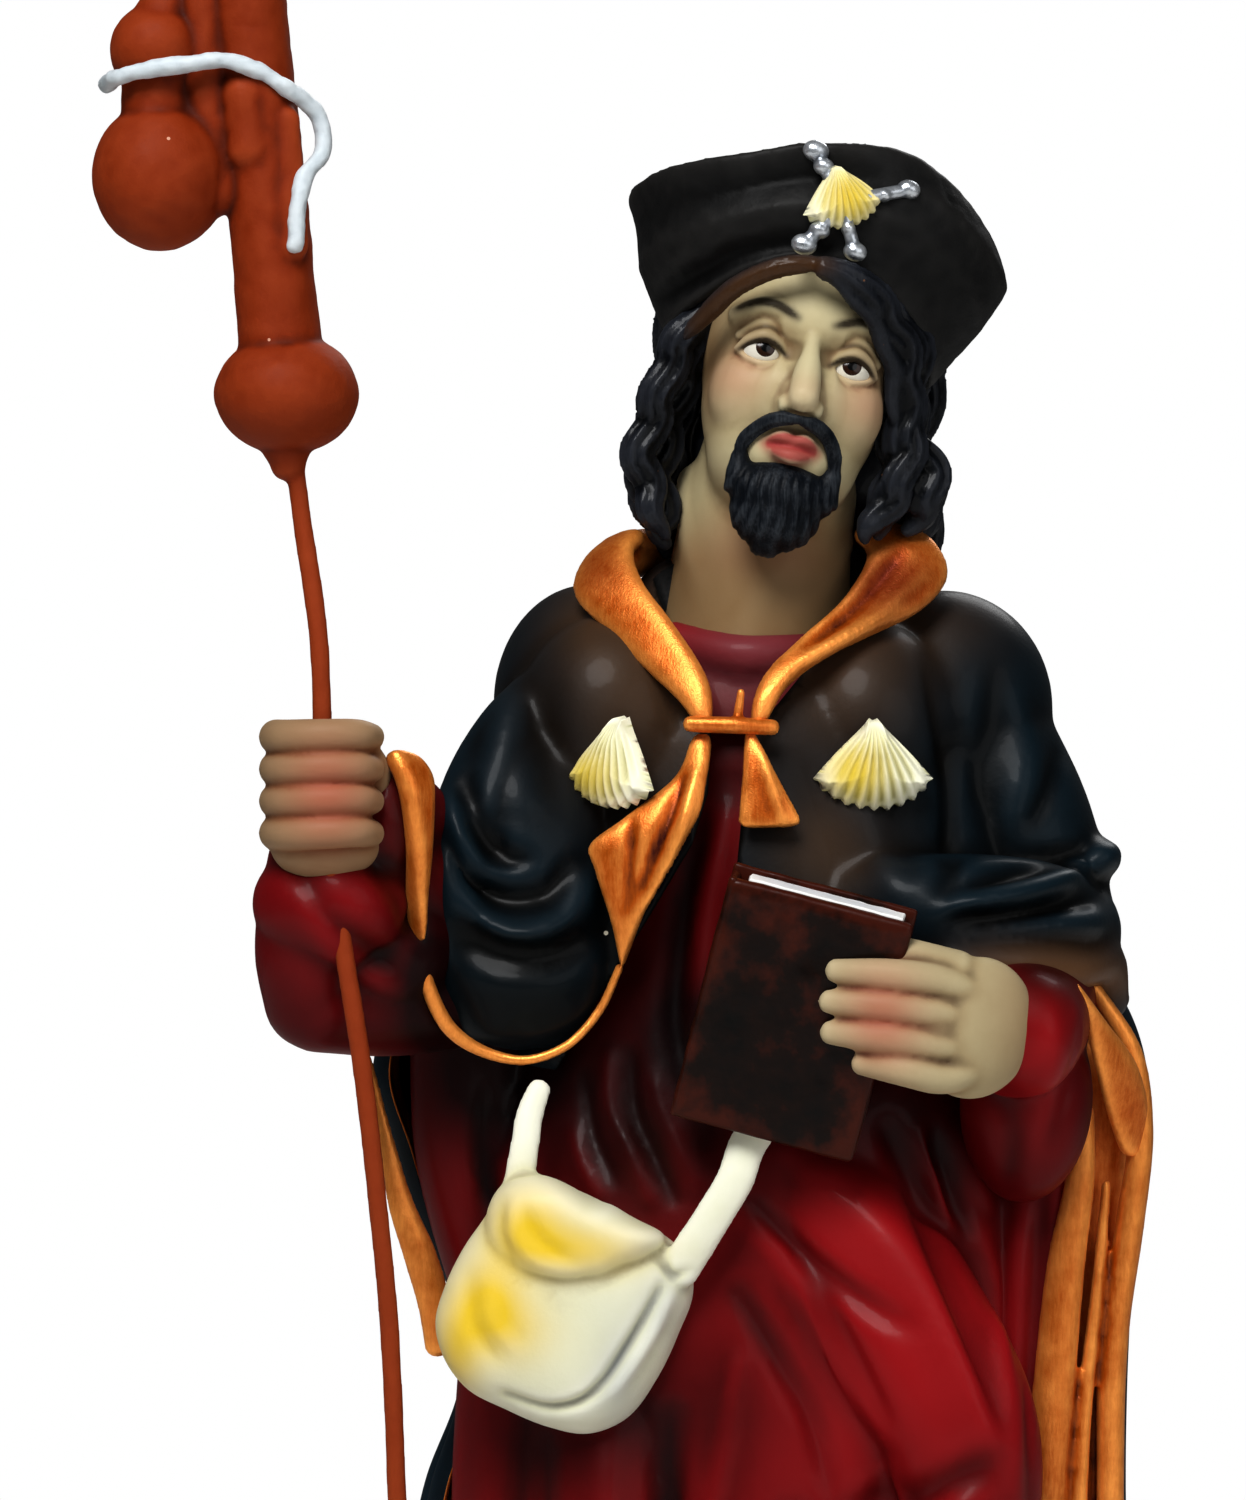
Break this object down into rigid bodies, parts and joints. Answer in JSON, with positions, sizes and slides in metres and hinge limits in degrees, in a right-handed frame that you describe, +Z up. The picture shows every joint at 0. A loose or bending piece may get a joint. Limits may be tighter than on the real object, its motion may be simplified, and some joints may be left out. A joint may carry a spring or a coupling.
{
  "type": "saint figurine",
  "caption": "Painted resin figurine of a standing pilgrim saint in hat, cape and long cloak, holding a book and a loose gourd staff; rests on a low oval base.",
  "frame": {"origin": "centre of the flat underside of the oval base", "axes": "+Z up along the figure, -Y towards the viewer (the figure's front), +X to the viewer's right"},
  "size_m": [0.1648, 0.1013, 0.3463],
  "materials": {
    "painted_resin": "painted cast resin, satin",
    "painted_staff": "matt brown paint on a thin rod with moulded resin ends"
  },
  "bodies": {
    "root": {"figure": "painted_resin", "staff": "painted_staff"}
  },
  "joints": []
}
